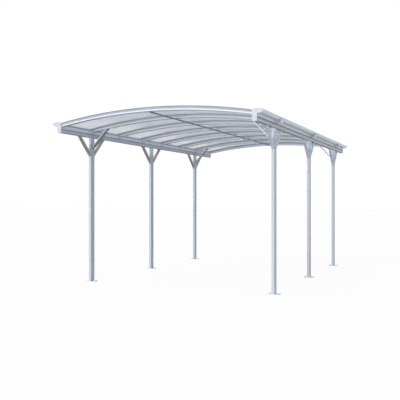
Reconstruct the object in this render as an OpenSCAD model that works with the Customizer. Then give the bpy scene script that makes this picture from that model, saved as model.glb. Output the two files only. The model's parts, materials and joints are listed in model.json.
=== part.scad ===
// Open carport: six slim posts carry two gutter beams, and eight curved
// arches between the beams hold seven curved translucent roof sheets.
// Millimetres, +Z up, the length along Y, the front at -Y, the origin on
// the ground in the middle of the plan.

/* [Plan] */
// Distance between the two rows of posts, centre to centre
post_span_x = 2800; // [2500:10:3200]
// Spacing of the arches along the length, centre to centre
panel_pitch = 705; // [600:5:800]

/* [Posts] */
// Post section across the width
post_w = 40; // [36:1:50]
// Post section along the length
post_d = 90; // [70:1:100]
// Wall of the post tube
post_wall = 2; // [1.6:0.1:3]
// Outer corner radius of the post tube
post_corner_r = 4; // [3.5:0.1:8]
// Height of the gutter beam's underside above the ground
beam_bottom_z = 2110; // [1900:5:2400]

/* [Base plates] */
// Base plate size across the width
plate_w = 160; // [150:1:200]
// Base plate size along the length
plate_d = 98; // [92:1:120]
// Base plate thickness
plate_t = 5; // [4:0.5:8]
// Corner radius of the base plate
plate_corner_r = 8; // [4:1:12]
// Anchor hole spacing across the width
anchor_x = 124; // [110:1:140]
// Anchor hole spacing along the length
anchor_y = 60; // [40:1:64]
// Anchor hole diameter
anchor_d = 10; // [8:0.5:13]
// Height of the spigot that stands inside the post tube
spigot_h = 60; // [30:1:100]
// Play between the spigot and the tube, each side
spigot_play = 0.2; // [0.1:0.1:0.5]
// Wall of the spigot
spigot_wall = 3; // [2:0.5:5]

/* [Gutter beams] */
// Width of the beam's box
box_w = 56; // [50:1:70]
// Height of the beam's box, up to the gutter floor
box_h = 64; // [56:1:72]
// Wall of the beam profile
beam_wall = 2.5; // [2:0.1:3]
// Width of the rail on top of the beam's inner side
rail_w = 14; // [12:1:20]
// Height of the rail's inner edge above the gutter floor
rail_rise = 13; // [12:1:20]
// Radius of the cove under the shelf
cove_r = 14; // [10:1:18]
// Height at which the cove starts
cove_v = 78; // [74:1:82]
// Width of the level shelf between the cove and the lip
shelf_w = 38; // [30:1:46]
// How far the gutter lip leans outwards
lip_run = 30; // [22:1:34]
// Height of the gutter lip
lip_rise = 36; // [30:1:42]
// Diameter of the bead along the lip
lip_bead_d = 10; // [6:0.5:12]
// How far the bead stands out past the lip's edge
lip_bead_out = 1.5; // [0:0.5:2.5]
// Depth of the groove along the outer side
groove_depth = 8; // [4:0.5:10]
// Depth of the outer groove's upper edge below the gutter floor
groove_drop = 8; // [5:1:14]
// Height of the outer groove
groove_h = 20; // [14:1:22]
// Depth of the groove along the inner side
recess_depth = 7; // [3:0.5:9]
// Depth of the inner groove's upper edge below the gutter floor
recess_drop = 12; // [5:1:16]
// Height of the inner groove
recess_h = 14; // [8:1:16]
// Thickness of the beam's end caps
cap_t = 4; // [3:0.5:8]
// How far an end cap stands out round the profile
cap_rim = 2; // [1:0.5:4]
// Height of an end cap above the gutter lip
cap_rise = 10; // [6:1:16]
// Slope of an end cap's upper edge, in degrees
cap_slope = 4; // [2:1:8]
// Set-in of an end cap's peak from the beam's inner side
cap_shoulder = 28; // [20:1:36]

/* [Gutter straps] */
// Width of the folded strap under the gutter at each post
strap_w = 46; // [30:1:60]
// Thickness of the strap
strap_t = 2; // [1.5:0.1:3]
// Height of the strap's lower edge
strap_v = 56; // [50:1:64]

/* [Arches] */
// Radius of the arch's outer face
arch_r = 7730; // [6000:10:9000]
// Height of the arch profile
arch_h = 55; // [50:1:60]
// Width of the arch profile's flanges
arch_flange_w = 60; // [54:1:70]
// Depth of the scoop in the arch profile's sides
scoop_depth = 11; // [8:0.5:13]
// Height of the arch profile's toe, below the scoop
arch_toe = 6; // [4:0.5:8]
// Thickness of the arch profile's flanges
flange_t = 3; // [2.5:0.1:4]
// Wall of the arch profile's chamber
arch_wall = 2.5; // [2:0.1:3]
// Width of the web between the two panel slots
arch_web = 6; // [4:0.5:8]
// How far the arches and sheets reach past the posts' centre lines
eave_reach = 18; // [12:1:20]

/* [Roof sheets] */
// Thickness of a roof sheet
panel_t = 6; // [4:0.5:8]
// Play round a sheet in its slots
panel_play = 0.3; // [0.2:0.1:0.5]
// How far a sheet's edge goes into a slot
panel_bite = 22; // [14:1:24]
// Thickness of the closing strip under the sheets at the eaves
closer_t = 3; // [2:0.5:5]
// Foot of the closing strip on the beam's rail
closer_foot = 12; // [8:1:12]

/* [Braces] */
// Reach of a knee brace along the post and along the beam
brace_leg = 272; // [220:1:320]
// Width of a knee brace, seen from the side
brace_w = 36; // [24:1:40]
// Thickness of a knee brace, across the width of the carport
brace_t = 34; // [18:1:36]
// Width of a corner brace, along the length of the carport
corner_w = 72; // [50:1:80]
// Thickness of a corner brace
corner_t = 14; // [10:1:24]
// Drop of a corner brace's middle below the beam, at the post
corner_drop = 155; // [120:1:200]
// Angle of a corner brace to the level, in degrees
corner_angle = 46; // [42:1:50]

/* [Ridge bar] */
// Width of the bar under the arches' middle
ridge_w = 24; // [18:1:36]
// Height of that bar
ridge_h = 14; // [10:1:24]
// Set-back of the bar's ends from the outer edges of the end arches
ridge_setback = 9; // [5:1:30]
// Gap left between pieces that bear on a curved face
seat_gap = 0.3; // [0.2:0.1:0.5]

/* [Hidden] */
// Smoothness of small rounds
$fn = 48;
// Flat steps that stand for the roof arc; an even number has a corner in the middle
arc_steps = 12;
// Overshoot of a cut beyond the faces it opens
cut = 1;

// Seven sheets lie between eight arches, which stand at equal spacings. The
// frame ends at the outer flanges, and the corner posts stand under the
// second arch from each end
panel_count = 7;
half_length = panel_count * panel_pitch / 2 + arch_flange_w / 2;
post_y = (panel_count / 2 - 1) * panel_pitch;
post_offset_x = post_span_x / 2;

// Levels of the beam profile, outwards (u) and upwards (v) from the middle
// of the beam's underside
inner_u = -box_w / 2;
outer_u = box_w / 2;
cove_u = outer_u + cove_r;
cove_top_v = cove_v + cove_r;
lip_foot_u = cove_u + shelf_w;
lip_u = lip_foot_u + lip_run;
lip_v = cove_top_v + lip_rise;
// Lower edges of the two grooves, which keep their place below the gutter floor
groove_v = box_h - groove_drop - groove_h;
recess_v = box_h - recess_drop - recess_h;
// The lip's lean, and how much wider its leaning wall is on the level
lip_tan = lip_run / lip_rise;
lip_sec = sqrt(1 + lip_tan * lip_tan);

// Levels of the arch profile, as depths below its outer face
slot_h = panel_t + 2 * panel_play;
ledge_depth = flange_t + slot_h;
scoop_top = ledge_depth + flange_t;
scoop_chord = arch_h - scoop_top - arch_toe;
scoop_r = (scoop_chord * scoop_chord / 4 + scoop_depth * scoop_depth) / (2 * scoop_depth);
waist_w = arch_flange_w - 2 * scoop_depth;
panel_w = panel_pitch - arch_flange_w + 2 * panel_bite;
panel_r = arch_r - flange_t - panel_play;
under_r = arch_r - arch_h;
eave_x = post_offset_x + eave_reach;
eave_angle = asin(eave_x / arch_r);
arc_fn = floor(180 * arc_steps / eave_angle);

// The arches' underside meets the inner edge of the beams' rails
rail_x = post_offset_x + inner_u;
arc_axis_z = beam_bottom_z + box_h + rail_rise + seat_gap
           - sqrt(under_r * under_r - rail_x * rail_x);

// Height above the beam's underside of a roof arc, at a distance across
function arc_v(r, x) = arc_axis_z + sqrt(r * r - x * x) - beam_bottom_z;

// The beam's rail slopes with the arches, which lie on it
rail_inner_v = box_h + rail_rise;
rail_outer_v = arc_v(under_r, rail_x + rail_w) - seat_gap;
function rail_v(u) =
    rail_inner_v + (rail_outer_v - rail_inner_v) * (u - inner_u) / rail_w;
function sheet_v(u) = arc_v(panel_r - panel_t, post_offset_x + u) - seat_gap;

// Distance along a line, from a point and at an angle, to a roof arc
function reach_to_arc(x, z, angle, r) =
    let (rise = z - arc_axis_z, b = rise * sin(angle) - x * cos(angle))
    sqrt(b * b - x * x - rise * rise + r * r) - b;

arch_color = [0.72, 0.76, 0.80];
post_color = [0.78, 0.82, 0.86];
beam_color = [0.66, 0.69, 0.73];
cap_color = [0.84, 0.88, 0.92];
brace_color = [0.60, 0.63, 0.67];
plate_color = [0.70, 0.73, 0.76];
sheet_color = [0.86, 0.86, 0.88, 0.7];
closer_color = [0.45, 0.47, 0.50];

// Rectangle with round corners, centred
module rounded_rect(w, d, r) {
    square([w - 2 * r, d], center = true);
    square([w, d - 2 * r], center = true);
    for (sx = [-1, 1], sy = [-1, 1])
        translate([sx * (w / 2 - r), sy * (d / 2 - r)]) circle(r);
}

// Places its children at a post: side -1 left, 1 right; row -1 front, 1 rear
module at_post(side, row) {
    translate([side * post_offset_x, row * post_y, 0]) children();
}

// Stands a profile drawn in (u, v) up at an eave and runs it along Y
module along_eave(side, y_from, y_to) {
    mirror([side < 0 ? 1 : 0, 0, 0])
        translate([post_offset_x, y_to, beam_bottom_z])
            rotate([90, 0, 0]) linear_extrude(y_to - y_from) children();
}

// Sweeps a profile drawn as (radius, Y) along the roof arc, from eave to eave
module along_arc() {
    translate([0, 0, arc_axis_z]) rotate([90, 0, 0]) rotate([0, 0, 90 - eave_angle])
        rotate_extrude(angle = 2 * eave_angle, $fn = arc_fn) children();
}

// Post: an extruded tube from the base plate to the gutter beam
module post(side, row) {
    color(post_color) at_post(side, row) translate([0, 0, plate_t])
        linear_extrude(beam_bottom_z - plate_t) difference() {
            rounded_rect(post_w, post_d, post_corner_r);
            rounded_rect(post_w - 2 * post_wall, post_d - 2 * post_wall,
                         post_corner_r - post_wall);
        }
}

// Base plate: anchor plate with a hollow spigot that stands in the post
module base_plate(side, row) {
    spigot_w = post_w - 2 * post_wall - 2 * spigot_play;
    spigot_d = post_d - 2 * post_wall - 2 * spigot_play;
    color(plate_color) at_post(side, row) {
        linear_extrude(plate_t) difference() {
            rounded_rect(plate_w, plate_d, plate_corner_r);
            for (sx = [-1, 1], sy = [-1, 1])
                translate([sx * anchor_x / 2, sy * anchor_y / 2]) circle(d = anchor_d);
        }
        translate([0, 0, plate_t]) linear_extrude(spigot_h) difference() {
            rounded_rect(spigot_w, spigot_d, post_corner_r - post_wall);
            square([spigot_w - 2 * spigot_wall, spigot_d - 2 * spigot_wall], center = true);
        }
    }
}

// Outline of the beam's outer side, filled up to the lip and grown all round
module eave_outline(grow) {
    difference() {
        polygon([
            [inner_u - grow, -grow], [outer_u + grow, -grow],
            [outer_u + grow, cove_v], [cove_u, cove_v], [cove_u, cove_top_v - grow],
            [lip_foot_u + (lip_sec - lip_tan) * grow, cove_top_v - grow],
            [lip_u + lip_sec * grow, lip_v], [inner_u - grow, lip_v]
        ]);
        translate([cove_u, cove_v]) circle(cove_r - grow);
    }
}

// Profile of the gutter beam: closed box, inner rail, cove, shelf, lip and gutter
module beam_profile() {
    lip_inset = beam_wall * (lip_sec - lip_tan);
    difference() {
        eave_outline(0);
        // gutter, open upwards between the rail and the lip
        difference() {
            polygon([
                [inner_u + rail_w, box_h], [outer_u - beam_wall, box_h],
                [outer_u - beam_wall, cove_v], [cove_u, cove_v],
                [cove_u, cove_top_v + beam_wall],
                [lip_foot_u - lip_inset, cove_top_v + beam_wall],
                [lip_u - lip_inset, lip_v + beam_wall],
                [inner_u + rail_w, lip_v + beam_wall]
            ]);
            translate([cove_u, cove_v]) circle(cove_r + beam_wall);
        }
        // above the rail, which slopes with the arches
        polygon([
            [inner_u - cut, rail_v(inner_u - cut)],
            [inner_u + rail_w + cut, rail_v(inner_u + rail_w + cut)],
            [inner_u + rail_w + cut, lip_v + cut], [inner_u - cut, lip_v + cut]
        ]);
        // chamber of the box, narrower between the two grooves
        translate([inner_u + beam_wall + recess_depth, beam_wall])
            square([box_w - 2 * beam_wall - recess_depth - groove_depth,
                    box_h - 2 * beam_wall]);
        translate([inner_u + beam_wall, beam_wall])
            square([box_w - 2 * beam_wall, min(groove_v, recess_v) - 2 * beam_wall]);
        // chamber of the rail
        translate([inner_u + beam_wall, box_h])
            square([rail_w - 2 * beam_wall, rail_outer_v - box_h - beam_wall]);
        // grooves on the outer and the inner side
        translate([outer_u - groove_depth, groove_v])
            square([groove_depth + cut, groove_h]);
        translate([inner_u - cut, recess_v])
            square([recess_depth + cut, recess_h]);
    }
    // bead rolled along the lip's upper edge
    translate([lip_u + lip_bead_out - lip_bead_d / 2, lip_v - lip_bead_d / 2])
        circle(d = lip_bead_d);
}

module gutter_beam(side) {
    color(beam_color) along_eave(side, -half_length, half_length) beam_profile();
}

// Outline of an end cap: the beam's outer side with a rim, and a top that
// slopes both ways from a peak over the box
module cap_outline() {
    edge_u = lip_u + lip_sec * cap_rim;
    peak_u = inner_u + cap_shoulder;
    top_v = lip_v + cap_rise;
    eave_outline(cap_rim);
    polygon([
        [inner_u - cap_rim, lip_v - cut], [edge_u, lip_v - cut], [edge_u, top_v],
        [peak_u, top_v + tan(cap_slope) * (edge_u - peak_u)], [inner_u - cap_rim, lip_v]
    ]);
}

module gutter_end_caps(side) {
    color(cap_color) {
        along_eave(side, -half_length - cap_t, -half_length) cap_outline();
        along_eave(side, half_length, half_length + cap_t) cap_outline();
    }
}

// Straps: folded plates under the shelf, one at each post, open below and
// closed by the beam's side; each has a top, an outer plate and two cheeks
module gutter_straps(side) {
    color(cap_color) for (row = [-1, 0, 1]) {
        front_y = row * post_y - strap_w / 2;
        rear_y = row * post_y + strap_w / 2;
        difference() {
            along_eave(side, front_y, rear_y) difference() {
                translate([outer_u, strap_v])
                    square([lip_foot_u - outer_u, cove_top_v - strap_v]);
                eave_outline(0);
            }
            along_eave(side, front_y + strap_t, rear_y - strap_t)
                translate([outer_u - cut, strap_v - cut])
                    square([lip_foot_u - outer_u - strap_t + cut,
                            cove_top_v - strap_v - strap_t + cut]);
        }
    }
}

// Knee brace outline: a bar at 45 degrees, cut flush to post and beam
module knee_outline() {
    inner_leg = brace_leg - brace_w * sqrt(2);
    polygon([[0, -brace_leg], [brace_leg, 0], [inner_leg, 0], [0, -inner_leg]]);
}

// The two knee braces of a post, along the beam to the front and to the rear
module knee_braces(side, row) {
    color(brace_color) at_post(side, row) for (way = [-1, 1])
        mirror([0, way < 0 ? 1 : 0, 0])
            translate([-brace_t / 2, post_d / 2, beam_bottom_z])
                rotate([90, 0, 90]) linear_extrude(brace_t) knee_outline();
}

// Corner brace: a flat bar from a post's inner face up to the underside of its rafter
module corner_brace(side, row) {
    foot_x = post_offset_x - post_w / 2;
    foot_z = beam_bottom_z - corner_drop;
    half_cut = corner_t / 2 / cos(corner_angle);
    under = [for (way = [-1, 1])
        reach_to_arc(foot_x, foot_z + way * half_cut, corner_angle, under_r - seat_gap)];
    mirror([side < 0 ? 1 : 0, 0, 0])
        translate([foot_x, row * post_y + corner_w / 2, foot_z])
            rotate([90, 0, 0]) linear_extrude(corner_w) polygon([
                [0, -half_cut],
                [-under[0] * cos(corner_angle), under[0] * sin(corner_angle) - half_cut],
                [-under[1] * cos(corner_angle), under[1] * sin(corner_angle) + half_cut],
                [0, half_cut]
            ]);
}

module corner_braces(side) {
    color(brace_color) for (row = [-1, 1]) corner_brace(side, row);
}

// Arch profile as (radius, Y): two flanges with a slot on each side for the
// sheets, and below them a chamber with scooped sides on a wide toe
module arch_profile() {
    half_flange = arch_flange_w / 2;
    body_top = arch_r - ledge_depth;
    chamber_h = arch_h - scoop_top - 2 * arch_wall;
    translate([arch_r - flange_t, -half_flange]) square([flange_t, arch_flange_w]);
    translate([body_top - cut, -arch_web / 2]) square([slot_h + 2 * cut, arch_web]);
    difference() {
        translate([under_r, -half_flange]) square([body_top - under_r, arch_flange_w]);
        for (way = [-1, 1])
            translate([under_r + arch_toe + scoop_chord / 2,
                       way * (waist_w / 2 + scoop_r)]) circle(scoop_r);
        translate([under_r + arch_wall, arch_wall - waist_w / 2])
            square([chamber_h, waist_w - 2 * arch_wall]);
    }
}

// Arch number index, counted from the front; it lies on the beams' rails
// and ends above the gutters
module arch(index) {
    y = (index - panel_count / 2) * panel_pitch;
    color(arch_color) translate([0, y, 0]) along_arc() arch_profile();
}

// Roof sheet number index, from the front, with its edges in the arch slots
module roof_panel(index) {
    y = (index - (panel_count + 1) / 2) * panel_pitch;
    color(sheet_color) translate([0, y, 0]) along_arc()
        translate([panel_r - panel_t, -panel_w / 2]) square([panel_t, panel_w]);
}

// Closing strips: angles on the beam's rail that close the gap below the
// sheets, one between each two arches
module eave_closers(side) {
    foot_u = inner_u + (rail_w - closer_foot) / 2;
    web_u = foot_u + closer_t;
    toe_u = foot_u + closer_foot;
    half_gap = (panel_pitch - arch_flange_w) / 2 - seat_gap;
    color(closer_color) for (index = [1 : panel_count]) {
        y = (index - (panel_count + 1) / 2) * panel_pitch;
        along_eave(side, y - half_gap, y + half_gap) polygon([
            [foot_u, rail_v(foot_u)], [toe_u, rail_v(toe_u)],
            [toe_u, rail_v(toe_u) + closer_t], [web_u, rail_v(web_u) + closer_t],
            [web_u, sheet_v(web_u)], [foot_u, sheet_v(foot_u)]
        ]);
    }
}

// Ridge bar: a slim bar along the middle, under all the arches
module ridge_bar() {
    half_bar = half_length - ridge_setback;
    color(closer_color)
        translate([-ridge_w / 2, -half_bar, arc_axis_z + under_r - seat_gap - ridge_h])
            cube([ridge_w, 2 * half_bar, ridge_h]);
}

post(-1, -1);  // front_left_post
post(-1, 0);  // middle_left_post
post(-1, 1);  // rear_left_post
post(1, -1);  // front_right_post
post(1, 0);  // middle_right_post
post(1, 1);  // rear_right_post
base_plate(-1, -1);  // front_left_base_plate
base_plate(-1, 0);  // middle_left_base_plate
base_plate(-1, 1);  // rear_left_base_plate
base_plate(1, -1);  // front_right_base_plate
base_plate(1, 0);  // middle_right_base_plate
base_plate(1, 1);  // rear_right_base_plate
gutter_beam(-1);  // left_gutter_beam
gutter_beam(1);  // right_gutter_beam
gutter_end_caps(-1);  // left_gutter_end_caps
gutter_end_caps(1);  // right_gutter_end_caps
gutter_straps(-1);  // left_gutter_straps
gutter_straps(1);  // right_gutter_straps
knee_braces(-1, -1);  // front_left_knee_braces
knee_braces(-1, 0);  // middle_left_knee_braces
knee_braces(-1, 1);  // rear_left_knee_braces
knee_braces(1, -1);  // front_right_knee_braces
knee_braces(1, 0);  // middle_right_knee_braces
knee_braces(1, 1);  // rear_right_knee_braces
corner_braces(-1);  // left_corner_braces
corner_braces(1);  // right_corner_braces
arch(0);  // front_end_arch
arch(1);  // rafter_1
arch(2);  // rafter_2
arch(3);  // rafter_3
arch(4);  // rafter_4
arch(5);  // rafter_5
arch(6);  // rafter_6
arch(7);  // rear_end_arch
roof_panel(1);  // roof_panel_1
roof_panel(2);  // roof_panel_2
roof_panel(3);  // roof_panel_3
roof_panel(4);  // roof_panel_4
roof_panel(5);  // roof_panel_5
roof_panel(6);  // roof_panel_6
roof_panel(7);  // roof_panel_7
eave_closers(-1);  // left_eave_closers
eave_closers(1);  // right_eave_closers
ridge_bar();
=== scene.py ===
"""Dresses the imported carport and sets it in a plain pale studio.

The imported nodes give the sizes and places. Each sub-assembly below finishes its
own nodes and adds the small pieces that belong to it: anchors, bolts, screws,
rivets, clips, seals, end plugs and the channels on the sheets' ends.
"""

import json
import logging
import math
from collections.abc import Callable, Iterator
from contextlib import contextmanager
from dataclasses import dataclass, replace
from enum import Enum

import bmesh
import bpy
from bpy.types import Material, Node, NodeSocket, NodeTree, Object
from mathutils import Matrix, Vector


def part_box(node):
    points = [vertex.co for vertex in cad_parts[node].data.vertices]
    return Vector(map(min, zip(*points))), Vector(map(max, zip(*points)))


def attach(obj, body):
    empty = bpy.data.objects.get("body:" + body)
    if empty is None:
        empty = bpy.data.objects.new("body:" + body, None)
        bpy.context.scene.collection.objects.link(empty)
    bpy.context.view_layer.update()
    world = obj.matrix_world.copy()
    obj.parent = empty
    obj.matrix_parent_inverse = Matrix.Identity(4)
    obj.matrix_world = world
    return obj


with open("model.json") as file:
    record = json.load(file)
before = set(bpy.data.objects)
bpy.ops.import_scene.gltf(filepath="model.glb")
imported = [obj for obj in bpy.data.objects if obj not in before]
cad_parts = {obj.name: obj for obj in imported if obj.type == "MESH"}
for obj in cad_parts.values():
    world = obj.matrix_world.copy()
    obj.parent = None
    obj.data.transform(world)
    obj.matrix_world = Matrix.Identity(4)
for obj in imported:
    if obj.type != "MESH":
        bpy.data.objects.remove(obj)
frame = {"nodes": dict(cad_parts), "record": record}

LOG = logging.getLogger("carport")
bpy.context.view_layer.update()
BODY = "root"
MM = 0.001
HAIR = 0.1 * MM
SMOOTH_ANGLE = math.radians(35)
SIDES = (("left", -1), ("right", 1))
HALVES = (-0.5, 0.5)
TONE_STOPS = (0.3, 0.7)
ABOUT_TURN = Matrix.Rotation(math.pi, 4, "Z")

Triple = tuple[float, float, float]
Span = tuple[float, float]
Inputs = dict[str | int, NodeSocket | float | tuple[float, ...]]
Test = Callable[[Vector, Vector], bool]
Operator = Callable[..., set[str]]


class Slot(Enum):
    """The record's material slots, named beside the new pieces but not set on them."""

    PLATE = "plate_zinc"
    CAP = "cap_plastic"
    STRAP = "strap_silver"
    BRACE = "brace_silver"
    CLOSER = "closer_grey"


# Selecting and shaping


def rest_selection() -> None:
    """Leaves edit mode and deselects every object."""
    active = bpy.context.object
    if active is not None and active.mode != "OBJECT":
        bpy.ops.object.mode_set(mode="OBJECT")
    bpy.ops.object.select_all(action="DESELECT")


def select_only(*pieces: Object) -> None:
    """Selects some pieces and nothing else.

    Args:
        pieces: The pieces, of which the first becomes the active one.
    """
    rest_selection()
    for piece in pieces:
        piece.select_set(True)
    bpy.context.view_layer.objects.active = pieces[0]


@contextmanager
def editing(piece: Object) -> Iterator[None]:
    """Holds one piece in edit mode.

    Args:
        piece: The mesh object to shape.

    Yields:
        Nothing, while the piece is held.
    """
    select_only(piece)
    bpy.ops.object.mode_set(mode="EDIT")
    yield
    bpy.ops.object.mode_set(mode="OBJECT")


def pick_faces(test: Test) -> None:
    """Selects the edited piece's faces by their place or normal.

    Args:
        test: Tells from a face's middle and its normal whether it is picked.
    """
    mesh = bpy.context.edit_object.data
    bpy.ops.mesh.select_mode(type="FACE")
    bpy.ops.mesh.select_all(action="DESELECT")
    work = bmesh.from_edit_mesh(mesh)
    for face in work.faces:
        face.select_set(test(face.calc_center_median(), face.normal))
    bmesh.update_edit_mesh(mesh)


def pick_edges(test: Test) -> None:
    """Selects the edited piece's edges by the places of their two ends.

    Args:
        test: Tells from an edge's two ends whether it is picked.
    """
    mesh = bpy.context.edit_object.data
    bpy.ops.mesh.select_mode(type="EDGE")
    bpy.ops.mesh.select_all(action="DESELECT")
    work = bmesh.from_edit_mesh(mesh)
    for edge in work.edges:
        edge.select_set(test(edge.verts[0].co, edge.verts[1].co))
    bmesh.update_edit_mesh(mesh)


def settle(*pieces: Object) -> None:
    """Puts the places, turns and scales of some pieces into their meshes."""
    select_only(*pieces)
    bpy.ops.object.transform_apply(location=True, rotation=True, scale=True)


def start(add: Operator, scale: Triple = (1, 1, 1), **settings: float | Triple) -> Object:
    """Adds a mesh that is shaped further.

    Args:
        add: The operator that adds it.
        scale: Its scale along each axis.
        settings: The operator's settings.

    Returns:
        The new object, with its place and scale in its mesh.
    """
    rest_selection()
    add(**settings)
    piece = bpy.context.object
    piece.scale = scale
    settle(piece)
    return piece


def start_block(size: Triple, middle: Triple) -> Object:
    """Adds a block that is shaped further, by its size and its middle."""
    return start(bpy.ops.mesh.primitive_cube_add, size, size=1, location=middle)


def eased_cylinder(
    sides: int, diameter: float, ends: Span, ease: float, segments: int = 1
) -> Object:
    """Models an upright cylinder or prism with its upper edges eased.

    Args:
        sides: Its number of sides.
        diameter: Its diameter over the corners.
        ends: The heights of its base and its top.
        ease: The bevel's width.
        segments: The bevel's steps.

    Returns:
        The new object, with its axis along Z.
    """
    base, top = ends
    piece = start(
        bpy.ops.mesh.primitive_cylinder_add,
        vertices=sides,
        radius=diameter / 2,
        depth=top - base,
        location=(0, 0, (top + base) / 2),
    )
    with editing(piece):
        pick_edges(lambda a, b: min(a.z, b.z) > top - HAIR)
        bpy.ops.mesh.bevel(offset=ease, segments=segments)
    return piece


def join(pieces: list[Object], name: str) -> Object:
    """Joins pieces into one mesh.

    Args:
        pieces: The objects to join, each with its own mesh.
        name: The joined object's name.

    Returns:
        The joined object, at the origin.
    """
    settle(*pieces)
    if len(pieces) > 1:
        bpy.ops.object.join()
    joined = bpy.context.object
    joined.name = joined.data.name = name
    return joined


def facing(point: Vector | Triple, normal: Vector | Triple) -> Matrix:
    """Gives the matrix that stands a piece's Z axis on a face, along its normal."""
    turn = Vector(normal).normalized().to_track_quat("Z", "X")
    return Matrix.Translation(point) @ turn.to_matrix().to_4x4()


def fit(
    model: Object, places: list[Matrix], name: str, slot: Slot, material: Material
) -> Object:
    """Copies a modelled piece to its places, as one new piece that rides on the frame.

    Args:
        model: The piece, modelled once round the origin; it is used up.
        places: One matrix for each copy.
        name: The new piece's name.
        slot: Not used.
        material: Its material.

    Returns:
        The new piece, with all the copies in its mesh.
    """
    copies = []
    for place in places:
        copy = model.copy()
        copy.data = model.data.copy()
        bpy.context.scene.collection.objects.link(copy)
        copy.matrix_world = place
        copies.append(copy)
    bpy.data.objects.remove(model)
    piece = join(copies, name)
    piece.data.materials.clear()
    piece.data.materials.append(material)
    select_only(piece)
    bpy.ops.object.shade_smooth_by_angle(angle=SMOOTH_ANGLE)
    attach(piece, BODY)
    LOG.info("%s: %d faces", piece.name, len(piece.data.polygons))
    return piece


def nodes_with(words: str) -> list[str]:
    """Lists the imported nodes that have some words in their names."""
    return sorted(name for name in frame["nodes"] if words in name)


def middle_of(name: str) -> Vector:
    """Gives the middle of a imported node's box."""
    low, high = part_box(name)
    return (low + high) / 2


def dress(words: str, material: Material) -> None:
    """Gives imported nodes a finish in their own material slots.

    Args:
        words: The words that the nodes have in their names.
        material: The finish.
    """
    for name in nodes_with(words):
        mesh = frame["nodes"][name].data
        if not mesh.materials:
            mesh.materials.append(material)
        for index in range(len(mesh.materials)):
            mesh.materials[index] = material
        LOG.info("%s: %s", name, material.name)


# Finishes


class Measure(Enum):
    """What a tone change goes by."""

    HEIGHT = "the height"
    RADIUS = "the distance from a level axis along Y"
    UPWARD = "the upward part of the face's direction"


@dataclass(frozen=True)
class ToneChange:
    """A level at which a coat's tone changes, with the factors on both sides of it.

    Places nearer to the middle plane than beyond_x keep their tone.
    """

    level: float
    fade: float
    below: float = 1.0
    above: float = 1.0
    measure: Measure = Measure.HEIGHT
    axis_z: float = 0.0
    beyond_x: float = 0.0


class NodeBoard:
    """Adds shader nodes to one node tree and links them."""

    def __init__(self, tree: NodeTree) -> None:
        """Takes up the node tree of a material or a world."""
        self.tree = tree

    def fill(self, node: Node, inputs: Inputs) -> None:
        """Sets a node's inputs, or links them.

        Args:
            node: The node.
            inputs: A value, or another node's output, for each input.
        """
        for name, value in inputs.items():
            if isinstance(value, NodeSocket):
                self.tree.links.new(value, node.inputs[name])
            else:
                node.inputs[name].default_value = value

    def add(
        self, kind: str, inputs: Inputs, output: str | int = 0, **settings: str
    ) -> NodeSocket:
        """Adds a node.

        Args:
            kind: The node's type.
            inputs: A value, or another node's output, for each input.
            output: Which of its outputs is wanted.
            settings: The node's own settings.

        Returns:
            The wanted output.
        """
        node = self.tree.nodes.new(kind)
        for name, value in settings.items():
            setattr(node, name, value)
        self.fill(node, inputs)
        return node.outputs[output]

    def ramp(
        self,
        source: NodeSocket,
        low: NodeSocket | float,
        high: NodeSocket | float,
        start: float = 0.0,
        end: float = 1.0,
    ) -> NodeSocket:
        """Brings a value's range, from start to end, into the one from low to high."""
        ends = {"From Min": start, "From Max": end, "To Min": low, "To Max": high}
        return self.add("ShaderNodeMapRange", {"Value": source, **ends})

    def part(self, source: NodeSocket, axis: str) -> NodeSocket:
        """Gives a vector's part along one axis."""
        return self.add("ShaderNodeSeparateXYZ", {0: source}, axis)


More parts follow.
